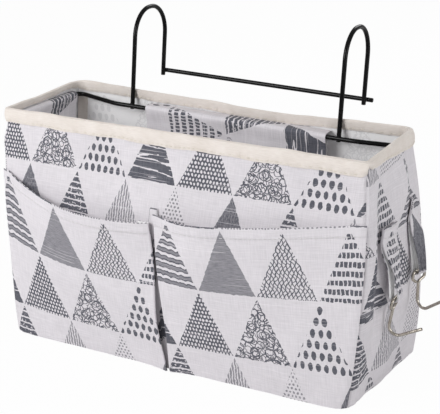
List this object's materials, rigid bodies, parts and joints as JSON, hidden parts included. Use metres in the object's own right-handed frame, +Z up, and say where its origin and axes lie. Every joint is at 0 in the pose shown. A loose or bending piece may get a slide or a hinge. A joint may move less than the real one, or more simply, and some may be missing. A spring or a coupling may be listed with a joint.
{
  "type": "bedside caddy",
  "caption": "Hanging fabric caddy: canvas bag on a bent wire rim with rail hooks, pleated front pockets, and end tabs with small metal hooks.",
  "frame": {"origin": "centre of the base's underside", "axes": "+X along the bed rail towards the hook tabs, +Y towards the bed, +Z up"},
  "size_m": [0.3898, 0.1895, 0.282],
  "materials": {
    "printed_canvas": "plain-woven cotton and linen canvas printed with grey triangles",
    "cream_tape": "cream cotton tape, stitched",
    "black_wire": "satin black coating on steel wire",
    "nickel_hook": "bright nickel plating on steel wire"
  },
  "bodies": {
    "caddy": {"front_panel": "printed_canvas", "right_panel": "printed_canvas", "back_panel": "printed_canvas", "left_panel": "printed_canvas", "base_panel": "printed_canvas", "rim_binding": "cream_tape", "base_seam_tape": "cream_tape", "front_left_seam_tape": "cream_tape", "front_right_seam_tape": "cream_tape", "back_left_seam_tape": "cream_tape", "back_right_seam_tape": "cream_tape", "rim_wire": "black_wire", "left_bed_hook": "black_wire", "right_bed_hook": "black_wire", "bed_bar": "black_wire", "front_sleeve": "printed_canvas", "back_sleeve": "printed_canvas", "left_sleeve": "printed_canvas", "right_sleeve": "printed_canvas", "pocket_panel": "printed_canvas", "front_tab_end": "printed_canvas", "rear_tab_end": "printed_canvas"},
    "front_loop": {"front_tab_loop": "printed_canvas"},
    "front_hook": {"front_side_hook": "nickel_hook"},
    "rear_loop": {"rear_tab_loop": "printed_canvas"},
    "rear_hook": {"rear_side_hook": "nickel_hook"}
  },
  "joints": [
    {"name": "front_tab_swing", "type": "hinge", "parent": "caddy", "child": "front_loop", "pos_m": [0.17687, -0.027, 0.136], "axis": [0, -1, 0], "range_deg": [0, 80]},
    {"name": "front_hook_swing", "type": "hinge", "parent": "front_loop", "child": "front_hook", "pos_m": [0.18228, -0.027, 0.0865], "axis": [0, -1, 0], "range_deg": [0, 100]},
    {"name": "rear_tab_swing", "type": "hinge", "parent": "caddy", "child": "rear_loop", "pos_m": [0.17771, 0.02, 0.143], "axis": [0, -1, 0], "range_deg": [0, 80]},
    {"name": "rear_hook_swing", "type": "hinge", "parent": "rear_loop", "child": "rear_hook", "pos_m": [0.18623, 0.02, 0.0935], "axis": [-0.4187, -0.9081, 0], "range_deg": [0, 100]}
  ]
}
